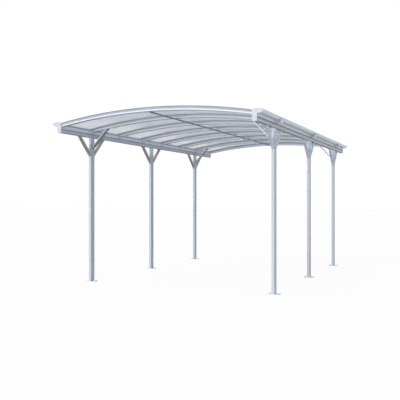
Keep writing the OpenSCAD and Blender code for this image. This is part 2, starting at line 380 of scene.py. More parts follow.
class FinishBoard(NodeBoard):
    """Builds a finish's material, with patterns on Object coordinates."""

    def __init__(self, name: str) -> None:
        """Starts the material.

        Args:
            name: The material's name.
        """
        self.material = bpy.data.materials.new(name)
        self.material.use_nodes = True
        super().__init__(self.material.node_tree)
        coordinates = self.tree.nodes.new("ShaderNodeTexCoord")
        self.place = coordinates.outputs["Object"]
        self.direction = coordinates.outputs["Normal"]

    def finished(self, inputs: Inputs) -> Material:
        """Sets or links the shader's own sockets and gives the material."""
        self.fill(self.tree.nodes["Principled BSDF"], inputs)
        return self.material

    def noise(self, scale: float, detail: float = 2, stretch: Triple = (1, 1, 1)) -> NodeSocket:
        """Adds a noise pattern.

        Args:
            scale: Its lumps to the metre.
            detail: Its octaves.
            stretch: The scale along X, Y and Z.

        Returns:
            The noise, from 0 to 1.
        """
        place = self.add("ShaderNodeMapping", {"Vector": self.place, "Scale": stretch})
        inputs = {"Vector": place, "Scale": scale, "Detail": detail}
        return self.add("ShaderNodeTexNoise", inputs, "Fac")

    def cells(self, scale: float) -> NodeSocket:
        """Adds crystals, each of one tone, as many to the metre as the scale says."""
        inputs = {"Vector": self.place, "Scale": scale}
        return self.add("ShaderNodeTexVoronoi", inputs, "Color")

    def bands(self, pitch: float) -> NodeSocket:
        """Adds even bands that follow one another along Y.

        Args:
            pitch: The distance from one band to the next, in metres.

        Returns:
            The bands, from 0 to 1.
        """
        waves_per_scale = 20 / math.tau
        inputs = {"Vector": self.place, "Scale": 1 / (pitch * waves_per_scale)}
        return self.add("ShaderNodeTexWave", inputs, "Fac", bands_direction="Y")

    def tones(self, source: NodeSocket, color: Triple, factors: Span) -> NodeSocket:
        """Turns a pattern into tones of a colour.

        Args:
            source: The pattern.
            color: The colour.
            factors: Its factors where the pattern is low and where it is high.

        Returns:
            The tones.
        """
        node = self.tree.nodes.new("ShaderNodeValToRGB")
        for stop, position, factor in zip(node.color_ramp.elements, TONE_STOPS, factors):
            stop.position = position
            stop.color = (*shade(color, factor), 1)
        self.fill(node, {"Fac": source})
        return node.outputs["Color"]

    def level(self, change: ToneChange) -> NodeSocket:
        """Gives what a tone change goes by, at each place.

        Args:
            change: The tone change.

        Returns:
            The height, distance or direction, as the change asks for.
        """
        if change.measure is not Measure.RADIUS:
            upward = change.measure is Measure.UPWARD
            return self.part(self.direction if upward else self.place, "Z")
        offset = {"Location": (0, 0, -change.axis_z), "Scale": (1, 0, 1)}
        spoke = self.add("ShaderNodeMapping", {"Vector": self.place, **offset})
        return self.add("ShaderNodeVectorMath", {0: spoke}, "Value", operation="LENGTH")

    def factor(self, change: ToneChange) -> NodeSocket:
        """Gives a tone change's factor at each place.

        Args:
            change: Where and how much the tone changes.

        Returns:
            The factor, which is 1 where the change doesn't reach.
        """
        end = change.level + change.fade
        factor = self.ramp(self.level(change), change.below, change.above, change.level, end)
        if not change.beyond_x:
            return factor
        across = self.part(self.place, "X")
        distance = self.add("ShaderNodeMath", {0: across}, operation="ABSOLUTE")
        return self.ramp(distance, 1.0, factor, change.beyond_x, change.beyond_x + MM)

    def with_painted_shading(self, color: NodeSocket, change: ToneChange) -> NodeSocket:
        """Scales a colour by a tone change at each place, as painted light and painted shade.
        """
        inputs = {0: color, "Scale": self.factor(change)}
        return self.add("ShaderNodeVectorMath", inputs, "Vector", operation="SCALE")

    def raised(self, source: NodeSocket, strength: float, height: float) -> NodeSocket:
        """Lets a pattern stand out of the surface by a height in metres."""
        inputs = {"Height": source, "Strength": strength, "Distance": height}
        return self.add("ShaderNodeBump", inputs, "Normal")


def shade(color: Triple, factor: float) -> Triple:
    """Lightens or darkens a colour."""
    return tuple(min(1.0, channel * factor) for channel in color)


@dataclass(frozen=True)
class PowderCoat:
    """Silver powder coat on drawn aluminium, with its patterns' lumps to the metre."""

    name: str
    color: Triple
    roughness: float = 0.46
    sheen: float = 0.2
    drawn: Triple = (1, 1, 1)
    painted_shading: tuple[ToneChange, ...] = ()
    tones: Span = (0.98, 1.02)
    gloss_swing: float = 0.06
    streak_scale: float = 9
    gloss_scale: float = 23
    grain_scale: float = 900

    def material(self) -> Material:
        """Builds the finish: faint drawing streaks, a fine grain and uneven gloss.

        Returns:
            The material.
        """
        board = FinishBoard(self.name)
        streaks = board.noise(self.streak_scale, 3, self.drawn)
        coat = board.tones(streaks, self.color, self.tones)
        # Painted light and shade: each tone change lightens or darkens the coat where light or
        # shade falls on it.
        for change in self.painted_shading:
            coat = board.with_painted_shading(coat, change)
        gloss = board.noise(self.gloss_scale, stretch=self.drawn)
        smooth, rough = self.roughness - self.gloss_swing, self.roughness + self.gloss_swing
        grain = board.noise(self.grain_scale)
        return board.finished(
            {
                "Base Color": coat,
                "Roughness": board.ramp(gloss, smooth, rough),
                "Specular IOR Level": self.sheen,
                "Normal": board.raised(grain, strength=0.05, height=0.1 * MM),
            }
        )


@dataclass(frozen=True)
class Zinc:
    """Hot-dip or bright zinc with crystals that catch the light."""

    name: str
    color: Triple
    crystals: float
    metal: float
    gloss: Span = (0.28, 0.5)
    tones: Span = (0.9, 1.08)
    grain_scale: float = 400

    def material(self) -> Material:
        """Builds the finish: crystals of different tone and gloss.

        Returns:
            The material.
        """
        board = FinishBoard(self.name)
        cells = board.cells(self.crystals)
        grain = board.noise(self.grain_scale, 3)
        return board.finished(
            {
                "Base Color": board.tones(cells, self.color, self.tones),
                "Roughness": board.ramp(cells, *self.gloss),
                "Metallic": self.metal,
                "Normal": board.raised(grain, strength=0.1, height=0.2 * MM),
            }
        )


@dataclass(frozen=True)
class MouldedPlastic:
    """Moulded plastic or rubber with a fine grain."""

    name: str
    color: Triple
    gloss: Span
    tones: Span = (0.94, 1.05)
    flow_scale: float = 14
    grain_scale: float = 1100

    def material(self) -> Material:
        """Builds the finish: a fine grain, flow marks and uneven gloss.

        Returns:
            The material.
        """
        board = FinishBoard(self.name)
        flow = board.noise(self.flow_scale, 3)
        grain = board.noise(self.grain_scale)
        return board.finished(
            {
                "Base Color": board.tones(flow, self.color, self.tones),
                "Roughness": board.ramp(flow, *self.gloss),
                "Normal": board.raised(grain, strength=0.15, height=0.15 * MM),
            }
        )


@dataclass(frozen=True)
class HollowSheet:
    """Milky hollow-chamber roof sheet, with its chambers along the arch."""

    name: str
    color: Triple
    chamber: float
    density: Span
    crown_opacity: ToneChange
    sheen: float = 0.12
    bending: float = 1.58
    gloss: Span = (0.22, 0.34)
    tones: Span = (0.97, 1.03)
    cloud_scale: float = 2.5
    cloud_stretch: Triple = (0.4, 1, 1)

    def material(self) -> Material:
        """Builds the finish: chamber walls that show as fine denser lines, and a sheet that is
        more opaque above a height towards the crown.

        Returns:
            The material.
        """
        board = FinishBoard(self.name)
        walls = board.bands(self.chamber)
        clouds = board.noise(self.cloud_scale, stretch=self.cloud_stretch)
        layers = {0: board.ramp(walls, *self.density), 1: board.factor(self.crown_opacity)}
        return board.finished(
            {
                "Base Color": board.tones(clouds, self.color, self.tones),
                "Alpha": board.add("ShaderNodeMath", layers, operation="MULTIPLY"),
                "Roughness": board.ramp(clouds, *self.gloss),
                "IOR": self.bending,
                "Specular IOR Level": self.sheen,
                "Normal": board.raised(walls, strength=0.05, height=0.2 * MM),
            }
        )


SILVER: Triple = (0.59, 0.645, 0.72)
ALONG_X, ALONG_Y, ALONG_Z = (1, 30, 30), (30, 1, 30), (30, 30, 1)
ALL_WAYS = (6, 6, 6)
POST_COAT = PowderCoat("post_coat", (0.57, 0.645, 0.735), drawn=ALONG_Z)
BEAM_COAT = PowderCoat("beam_coat", (0.62, 0.66, 0.74), drawn=ALONG_Y)
ARCH_COAT = PowderCoat("arch_coat", (0.62, 0.68, 0.76), drawn=ALONG_X)
RAFTER_COAT = PowderCoat("rafter_coat", (0.63, 0.675, 0.73), drawn=ALONG_X)
# Painted light and shade: the right knee braces' coat is lightened and the left ones' coat is
# darker and greyer.
LIT_KNEE_COAT = PowderCoat("knee_coat", shade(SILVER, 1.1), drawn=ALL_WAYS)
SHADED_KNEE_COAT = PowderCoat("shaded_knee_coat", (0.583, 0.575, 0.60), drawn=ALL_WAYS)
CORNER_COAT = PowderCoat("corner_coat", shade(SILVER, 1.08), drawn=ALL_WAYS)
STRAP_COAT = PowderCoat("strap_coat", shade(SILVER, 1.15), roughness=0.36)
# Painted light: the clips' coat is lighter than the straps' coat, standing for light on their
# outer plates.
LIT_CLIP_COAT = PowderCoat("lit_clip_coat", (0.77, 0.85, 0.96), roughness=0.36)
CLOSER_COAT = PowderCoat("closer_coat", shade(SILVER, 1.35), drawn=ALONG_Y)
# Partly painted shade: the ridge bar's own grey is darkened further, to the tone it shows in
# shade.
SHADED_RIDGE_COAT = PowderCoat("shaded_ridge_coat", (0.22, 0.24, 0.27), drawn=ALONG_Y)
PLATE_ZINC = Zinc("plate_zinc_coat", (0.74, 0.79, 0.86), crystals=120, metal=0.1)
FIXING_ZINC = Zinc("fixing_zinc_coat", (0.80, 0.83, 0.87), crystals=600, metal=0.3)
CAP_PLASTIC = MouldedPlastic("cap_moulding", (0.545, 0.612, 0.68), (0.33, 0.47))
PLUG_GREY = MouldedPlastic("plug_moulding", (0.30, 0.32, 0.35), (0.43, 0.57))
SEAL_RUBBER = MouldedPlastic(
    "seal_rubber", (0.34, 0.36, 0.40), (0.58, 0.72), grain_scale=1600
)
SHEET_MILK = HollowSheet(
    "sheet_milk",
    (0.70, 0.755, 0.88),
    chamber=16 * MM,
    density=(0.30, 0.38),
    crown_opacity=ToneChange(2.28, 0.04, above=1.6),
)


# Fixings


@dataclass(frozen=True)
class HexFixing:
    """A hex head or nut on a washer, with its seat at z 0 and its axis along Z.

    The rim, the chamfer, the dish and the point are shares of the washer's thickness,
    the hex's width and height, and the stud's diameter.
    """

    across: float
    height: float
    washer_d: float
    washer_t: float
    stud_d: float = 0.0
    stud_above: float = 0.0
    stud_below: float = 0.0
    rim: float = 0.4
    chamfer: float = 0.07
    dish_rim: float = 0.12
    dish_depth: float = 0.05
    point: float = 0.16

    def model(self) -> Object:
        """Models the fixing once round the origin.

        Returns:
            The modelled object.
        """
        parts = [self.washer(), self.hexagon()]
        if self.stud_d:
            parts.append(self.stud())
        return join(parts, "hex_fixing")

    def washer(self) -> Object:
        """Models the washer, with its upper rim eased."""
        return eased_cylinder(20, self.washer_d, (0, self.washer_t), self.washer_t * self.rim)

    def hexagon(self) -> Object:
        """Models the hex, chamfered and with a dished top.

        Returns:
            The hex, on the washer.
        """
        ends = (self.washer_t, self.washer_t + self.height)
        corners_d = 2 * self.across / math.sqrt(3)
        hexagon = eased_cylinder(6, corners_d, ends, self.across * self.chamfer)
        with editing(hexagon):
            pick_faces(lambda middle, normal: normal.z > 0.9)
            bpy.ops.mesh.inset(
                thickness=self.across * self.dish_rim, depth=-self.height * self.dish_depth
            )
        return hexagon

    def stud(self) -> Object:
        """Models the threaded end that stands out of a nut, with a chamfer."""
        ends = (-self.stud_below, self.washer_t + self.height + self.stud_above)
        return eased_cylinder(14, self.stud_d, ends, self.stud_d * self.point)


@dataclass(frozen=True)
class DomeFixing:
    """A round head with a drive recess: a screw or a rivet, seated at z 0.

    The crown and the recess's depth are shares of the head's height, and the recess's
    draft is a share of the flat rim round it.
    """

    head_d: float
    height: float
    recess_d: float
    crown: float = 0.7
    recess_depth: float = 0.5
    recess_draft: float = 0.2

    def model(self) -> Object:
        """Models the head once round the origin.

        Returns:
            The modelled object.
        """
        crown = self.height * self.crown
        rim = self.head_d / 2 - crown - self.recess_d / 2
        head = eased_cylinder(18, self.head_d, (0, self.height), crown, segments=3)
        with editing(head):
            pick_faces(lambda middle, normal: normal.z > 0.99)
            bpy.ops.mesh.inset(thickness=rim)
            bpy.ops.mesh.inset(
                thickness=rim * self.recess_draft, depth=-self.height * self.recess_depth
            )
        return head


@dataclass(frozen=True)
class PressedClip:
    """A pressed cover: a sole, an outer plate, a flange that leans back and two cheeks.

    The points are the ends of the sole, of the outer plate and of the flange, each as
    a distance outwards from the sole's inner edge and a height above it.
    """

    width: float
    sheet: float
    fold_r: float
    points: tuple[Span, ...]

    def model(self) -> Object:
        """Models the clip once, with its sole's inner edge along Y through the origin.

        Returns:
            The modelled object, which reaches towards +X.
        """
        plane = bpy.ops.mesh.primitive_plane_add
        clip = start(plane, (1, self.width, 1), size=1, location=(0.5, 0, 0))
        with editing(clip):
            pick_edges(lambda a, b: min(a.x, b.x) > 0.5)
            out, rise = self.points[0]
            bpy.ops.transform.translate(value=(out - 1, 0, rise))
            for (last_out, last_rise), (out, rise) in zip(self.points, self.points[1:]):
                move = (out - last_out, 0, rise - last_rise)
                bpy.ops.mesh.extrude_region_move(TRANSFORM_OT_translate={"value": move})
            pick_edges(self.is_fold)
            bpy.ops.mesh.bevel(offset=self.fold_r, segments=3)
            for end in (-self.width / 2, self.width / 2):
                pick_edges(lambda a, b: max(abs(a.y - end), abs(b.y - end)) < self.sheet)
                bpy.ops.mesh.edge_face_add()
            bpy.ops.mesh.select_all(action="SELECT")
            bpy.ops.mesh.normals_make_consistent(inside=False)
        bpy.ops.object.modifier_add(type="SOLIDIFY")
        clip.modifiers[-1].thickness = self.sheet
        bpy.ops.object.modifier_apply(modifier=clip.modifiers[-1].name)
        return clip

    def is_fold(self, a: Vector, b: Vector) -> bool:
        """Tells from an edge's two ends whether it is one of the clip's folds."""
        middle = (a + b) / 2
        return any(
            math.hypot(middle.x - out, middle.z - rise) < HAIR
            for out, rise in self.points[:-1]
        )


# Sub-assemblies


@dataclass
class PostFeet:
    """The posts on their base plates, with ground anchors and foot bolts."""

    anchor: HexFixing = HexFixing(
        across=13 * MM,
        height=6.5 * MM,
        washer_d=18 * MM,
        washer_t=1.6 * MM,
        stud_d=8 * MM,
        stud_above=7 * MM,
        stud_below=4 * MM,
    )
    foot_bolt: HexFixing = HexFixing(
        across=13 * MM, height=5.3 * MM, washer_d=17 * MM, washer_t=1.6 * MM
    )
    bolt_height: float = 30 * MM
    bolt_spread: float = 36 * MM
    # Painted light: the posts' coat is lightened above 1.93 m, where the beams and braces shade
    # them.
    painted_light_head: ToneChange = ToneChange(1.93, 0.12, above=1.25)

    def dress(self) -> None:
        """Finishes the posts, with painted light high up under the eaves, and the base plates.
        """
        coat = replace(POST_COAT, painted_shading=(self.painted_light_head,))
        dress("_post", coat.material())
        dress("_base_plate", PLATE_ZINC.material())

    def build(self) -> list[Object]:
        """Builds the anchors and the foot bolts.

        Returns:
            The new pieces.
        """
        zinc = FIXING_ZINC.material()
        parts = (
            (self.anchor, self.anchor_places(), "ground_anchors"),
            (self.foot_bolt, self.bolt_places(), "foot_bolts"),
        )
        return [fit(part.model(), *rest, Slot.PLATE, zinc) for part, *rest in parts]

    def anchor_places(self) -> list[Matrix]:
        """Reads the anchors' places from the record's bolt patterns.

        Returns:
            One matrix for each anchor.
        """
        places = []
        for mount in frame["record"]["mounts"]:
            if mount["kind"] != "bolt_pattern":
                continue
            spread_x = mount["dims"]["spacing_x_mm"] * MM
            spread_y = mount["dims"]["spacing_y_mm"] * MM
            for along in HALVES:
                for across in HALVES:
                    offset = Vector((across * spread_x, along * spread_y, 0))
                    places.append(facing(Vector(mount["pos_m"]) + offset, (0, 0, 1)))
        return places

    def bolt_places(self) -> list[Matrix]:
        """Sets the foot bolts out on both wide faces of each post.

        Returns:
            One matrix for each bolt.
        """
        places = []
        for name in nodes_with("_post"):
            low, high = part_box(name)
            z = low.z + self.bolt_height
            for way in HALVES:
                y = middle_of(name).y + way * self.bolt_spread
                places.append(facing((low.x, y, z), (-1, 0, 0)))
                places.append(facing((high.x, y, z), (1, 0, 0)))
        return places


@dataclass
class Braces:
    """The knee braces along the beams and the corner braces under the rafters.

    Each side's tones are its knee braces' coat, its factor on faces that look down and its
    factor on the others. They are painted light and shade: faces that look down are darkened,
    the left side's coat and other faces are darker and the right side's are lighter.
    """

    screw: HexFixing = HexFixing(
        across=10 * MM, height=4.5 * MM, washer_d=15 * MM, washer_t=1.4 * MM
    )
    end_distance: float = 38 * MM
    corner_spread: float = 42 * MM
    corner_angle: float = math.radians(46)
    down_from: float = -0.6
    down_fade: float = 0.2
    side_tones: tuple[tuple[str, PowderCoat, float, float], ...] = (
        ("left", SHADED_KNEE_COAT, 0.34, 0.84),
        ("right", LIT_KNEE_COAT, 0.66, 1.12),
    )

    def dress(self) -> None:
        """Finishes the braces, with painted shade on the left side and on faces that look down,
        and painted light on the right side.
        """
        for side, knee_coat, *tones in self.side_tones:
            # Painted shade on faces that look down. The other faces are lightened on the right
            # side and darkened on the left as painted light and shade.
            painted_shade = ToneChange(self.down_from, self.down_fade, *tones, Measure.UPWARD)
            for coat, kind in ((knee_coat, "knee_braces"), (CORNER_COAT, "corner_braces")):
                painted_coat = replace(coat, name=f"{side}_{coat.name}", painted_shading=(painted_shade,))
                dress(f"{side}_{kind}", painted_coat.material())

    def build(self) -> list[Object]:
        """Builds the screws in the braces' lower faces.

        Returns:
            The new pieces.
        """
        places = self.knee_places() + self.corner_places()
        zinc = FIXING_ZINC.material()
        return [fit(self.screw.model(), places, "brace_screws", Slot.BRACE, zinc)]

    def knee_places(self) -> list[Matrix]:
        """Sets two screws out on the lower face of each knee brace.

        Returns:
            One matrix for each screw.
        """
        places = []
        for name in nodes_with("_knee_braces"):
            low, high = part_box(name)
            post_low, post_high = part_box(name.replace("_knee_braces", "_post"))
            x = middle_of(name).x
            for foot, tip in ((post_low.y, low.y), (post_high.y, high.y)):
                start, end = Vector((x, foot, low.z)), Vector((x, tip, high.z))
                along = (end - start).normalized()
                normal = (0, math.copysign(along.z, along.y), -abs(along.y))
                places.append(facing(start + along * self.end_distance, normal))
                places.append(facing(end - along * self.end_distance, normal))
        return places

    def corner_places(self) -> list[Matrix]:
        """Sets two pairs of screws out on the lower face of each corner brace.

        Returns:
            One matrix for each screw.
        """
        places = []
        rise, run = math.sin(self.corner_angle), math.cos(self.corner_angle)
        for side, out in SIDES:
            low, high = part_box(f"{side}_corner_braces")
            foot_x = low.x if out < 0 else high.x
            top_reach = (high.x - low.x) / run - self.end_distance
            for row in ("front", "rear"):
                start = Vector((foot_x, middle_of(f"{row}_{side}_post").y, low.z))
                for reach in (self.end_distance, top_reach):
                    point = start + Vector((-out * run, 0, rise)) * reach
                    for way in HALVES:
                        aside = Vector((0, way * self.corner_spread, 0))
                        places.append(facing(point + aside, (-out * rise, 0, -run)))
        return places


@dataclass
class Eaves:
    """The gutter beams with their end caps, and the straps with their clips."""

    rivet: DomeFixing = DomeFixing(head_d=9.5 * MM, height=2.2 * MM, recess_d=3 * MM)
    clip: PressedClip = PressedClip(
        width=70 * MM,
        sheet=2 * MM,
        fold_r=4 * MM,
        points=((30 * MM, -6 * MM), (31 * MM, 42 * MM), (18 * MM, 54 * MM)),
    )
    cap_screw: DomeFixing = DomeFixing(head_d=9 * MM, height=2.4 * MM, recess_d=4 * MM)
    rivet_rise: float = 18 * MM
    rivet_spread: float = 26 * MM
    screw_rises: Span = (16 * MM, 84 * MM)
    groove: Span = (35 * MM, 56 * MM)
    shelf_rise: float = 78 * MM
    lip_rise: float = 3 * MM
    # Painted shade and light on the beams: factors below 1 darken the underside, the recess,
    # the grooves and the part above the shelf, and factors above 1 lighten the upper side and
    # the lip.
    underside_shade: float = 0.25
    recess_shade: float = 0.84
    groove_shade: float = 0.67
    upper_light: float = 1.36
    shelf_shade: float = 0.72
    lip_light: float = 1.4

    def painted_shading(self) -> tuple[ToneChange, ...]:
        """Works out the beams' painted shade below, in the recess, in the grooves and above the
        shelf, and their painted light on the upper side and the lip.

        Returns:
            The tone changes from the bottom up.
        """
        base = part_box("right_gutter_beam")[0].z
        lower, upper = (base + rise for rise in self.groove)
        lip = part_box("right_gutter_straps")[1].z + self.lip_rise
        middle = middle_of("front_right_post").x
        return (
            ToneChange(base + MM, fade=3 * MM, below=self.underside_shade),
            ToneChange(lower, fade=MM, above=self.recess_shade),
            ToneChange(lower, fade=MM, above=self.groove_shade, beyond_x=middle),
            ToneChange(upper, fade=MM, above=1 / self.groove_shade, beyond_x=middle),
            ToneChange(upper, fade=MM, above=self.upper_light / self.recess_shade),
            ToneChange(base + self.shelf_rise, fade=4 * MM, above=self.shelf_shade),
            ToneChange(lip, fade=6 * MM, above=self.lip_light),
        )

    def dress(self) -> None:
        """Finishes the beams, the end caps and the straps."""
        coat = replace(BEAM_COAT, painted_shading=self.painted_shading())
        dress("_gutter_beam", coat.material())
        dress("_end_caps", CAP_PLASTIC.material())
        dress("_gutter_straps", STRAP_COAT.material())

    def build(self) -> list[Object]:
        """Builds the straps' clips and rivets and the caps' screws.

        Returns:
            The new pieces.
        """
        zinc = FIXING_ZINC.material()
        # The clips' coat carries painted light.
        coat = LIT_CLIP_COAT.material()
        parts = (
            (self.clip, self.clip_places(), "strap_clips", Slot.STRAP, coat),
            (self.rivet, self.rivet_places(), "strap_rivets", Slot.STRAP, zinc),
            (self.cap_screw, self.screw_places(), "cap_screws", Slot.CAP, zinc),
        )
        return [fit(part.model(), *rest) for part, *rest in parts]

    def clip_places(self) -> list[Matrix]:
        """Sets the clips out on the lower edges of the straps' outer plates.

        Returns:
            One matrix for each clip.
        """
        places = []
        for side, out in SIDES:
            low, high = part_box(f"{side}_gutter_straps")
            seat, turn = (low.x, ABOUT_TURN) if out < 0 else (high.x, Matrix())
            for row in ("front", "middle", "rear"):
                spot = (seat, middle_of(f"{row}_{side}_post").y, low.z)
                places.append(Matrix.Translation(spot) @ turn)
        return places

    def rivet_places(self) -> list[Matrix]:
        """Sets two rivets out on the outer plate of each clip.

        Returns:
            One matrix for each rivet.
        """
        reach = max(out for out, rise in self.clip.points)
        spots = [(reach, way * self.rivet_spread, self.rivet_rise) for way in HALVES]
        pair = [facing(spot, (1, 0, 0)) for spot in spots]
        return [clip @ rivet for clip in self.clip_places() for rivet in pair]

    def screw_places(self) -> list[Matrix]:
        """Sets the screws out on the end caps' outer faces.

        Returns:
            One matrix for each screw.
        """
        places = []
        for side, _ in SIDES:
            low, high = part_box(f"{side}_gutter_end_caps")
            post = f"front_{side}_post"
            x = middle_of(post).x
            for rise in self.screw_rises:
                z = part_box(post)[1].z + rise
                places.append(facing((x, low.y, z), (0, -1, 0)))
                places.append(facing((x, high.y, z), (0, 1, 0)))
        return places


@dataclass(frozen=True)
class RoofArc:
    """The axis and reach of the arc that the arches and the sheets follow."""

    axis_z: float
    half_angle: float

    @classmethod
    def from_node(cls, name: str) -> "RoofArc":
        """Measures an arch's outer face.

        Args:
            name: The arch's node.

        Returns:
            The arc of its outer face.
        """
        points = [vertex.co for vertex in frame["nodes"][name].data.vertices]
        top = max(point.z for point in points)
        corner = max(points, key=lambda point: (round(point.x, 5), point.z))
        fall = top - corner.z
        radius = (corner.x**2 + fall**2) / (2 * fall)
        return cls(top - radius, math.asin(corner.x / radius))

    def depths(self, name: str) -> Span:
        """Gives the least and the most radius of a node that follows the arc."""
        radii = [
            math.hypot(vertex.co.x, vertex.co.z - self.axis_z)
            for vertex in frame["nodes"][name].data.vertices
        ]
        return min(radii), max(radii)

    def at(self, angle: float, y: float) -> Matrix:
        """Gives the matrix that swings a piece from the arc's axis to an angle."""
        return Matrix.Translation((0, y, self.axis_z)) @ Matrix.Rotation(angle, 4, "Y")

    def both_ends(self, y: float, radius: float) -> list[Matrix]:
        """Gives the places of a piece that faces outwards on the arc's two ends.

        Args:
            y: Its place along the length.
            radius: Its distance from the arc's axis.

        Returns:
            The matrices on the right and on the left.
        """
        lift = Matrix.Translation((0, 0, radius))
        right, left = (self.at(way * self.half_angle, y) @ lift for way in (1, -1))
        return [right, left @ ABOUT_TURN]


@dataclass
class Arches:
    """The arches with their end plugs, and the ridge bar with its screws."""

    arc: RoofArc
    plug_w: float = 36 * MM
    plug_h: float = 38 * MM
    plug_t: float = 3 * MM
    plug_corner: float = 4 * MM
    plug_play: float = MM
    flange_t: float = 3 * MM
    toe_h: float = 3 * MM
    # Painted shade and light on the arches: the underside, the upper scoop and the top are
    # darkened, and the toe is lightened.
    toe_light_h: float = 12 * MM
    scoop_fade: float = 16 * MM
    underside_shade: float = 0.42
    scoop_shade: float = 0.74
    toe_light: float = 1.3
    top_shade: float = 0.9
    ridge_screw: HexFixing = HexFixing(
        across=8 * MM, height=4 * MM, washer_d=13 * MM, washer_t=1.2 * MM
    )

    def painted_shading(self) -> tuple[ToneChange, ...]:
        """Works out the painted shade under the toe, high in the scoop and at the top flange,
        and the painted light on the toe.

        Returns:
            The tone changes from the inner face outwards.
        """
        inner, outer = self.arc.depths("rafter_1")
        toe_lit = inner + self.toe_light_h
        changes = (
            ToneChange(inner + self.toe_h, fade=3 * MM, below=self.underside_shade),
            ToneChange(toe_lit, self.scoop_fade, self.toe_light, self.scoop_shade),
            ToneChange(outer - self.flange_t, fade=MM, above=self.top_shade / self.scoop_shade),
        )
        return tuple(
            replace(change, measure=Measure.RADIUS, axis_z=self.arc.axis_z)
            for change in changes
        )

    def dress(self) -> None:
        """Finishes the arches and the ridge bar."""
        for coat, words in ((ARCH_COAT, "_arch"), (RAFTER_COAT, "rafter_")):
            dress(words, replace(coat, painted_shading=self.painted_shading()).material())
        dress("ridge_bar", SHADED_RIDGE_COAT.material())

    def names(self) -> list[str]:
        """Lists the arches' nodes."""
        return nodes_with("_arch") + nodes_with("rafter_")

    def build(self) -> list[Object]:
        """Builds the end plugs and the ridge bar's screws.

        Returns:
            The new pieces.
        """
        grey, zinc = PLUG_GREY.material(), FIXING_ZINC.material()
        screw = self.ridge_screw.model()
        return [
            fit(self.plug(), self.plug_places(), "arch_end_plugs", Slot.CLOSER, grey),
            fit(screw, self.screw_places(), "ridge_screws", Slot.CLOSER, zinc),
        ]

    def plug(self) -> Object:
        """Models a plug: a plate with round corners and a raised middle, facing +X.

        Returns:
            The plug, with its back at x 0.
        """
        size = (self.plug_t, self.plug_w, self.plug_h)
        plug = start_block(size, (self.plug_t / 2, 0, 0))
        with editing(plug):
            pick_edges(lambda a, b: abs(a.x - b.x) > self.plug_t / 2)
            bpy.ops.mesh.bevel(offset=self.plug_corner, segments=4)
            pick_faces(lambda middle, normal: normal.x > 0.9)
            bpy.ops.mesh.inset(thickness=self.plug_t)
            bpy.ops.mesh.inset(thickness=self.plug_t / 3, depth=self.plug_t / 3)
        return plug

    def plug_places(self) -> list[Matrix]:
        """Sets the plugs out on both ends of each arch.

        Returns:
            One matrix for each plug.
        """
        places = []
        for name in self.names():
            radius = self.arc.depths(name)[0] + self.plug_h / 2 + self.plug_play
            places += self.arc.both_ends(middle_of(name).y, radius)
        return places

    def screw_places(self) -> list[Matrix]:
        """Sets the screws out under the ridge bar, one at each arch."""
        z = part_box("ridge_bar")[0].z
        return [facing((0, middle_of(name).y, z), (0, 0, -1)) for name in self.names()]


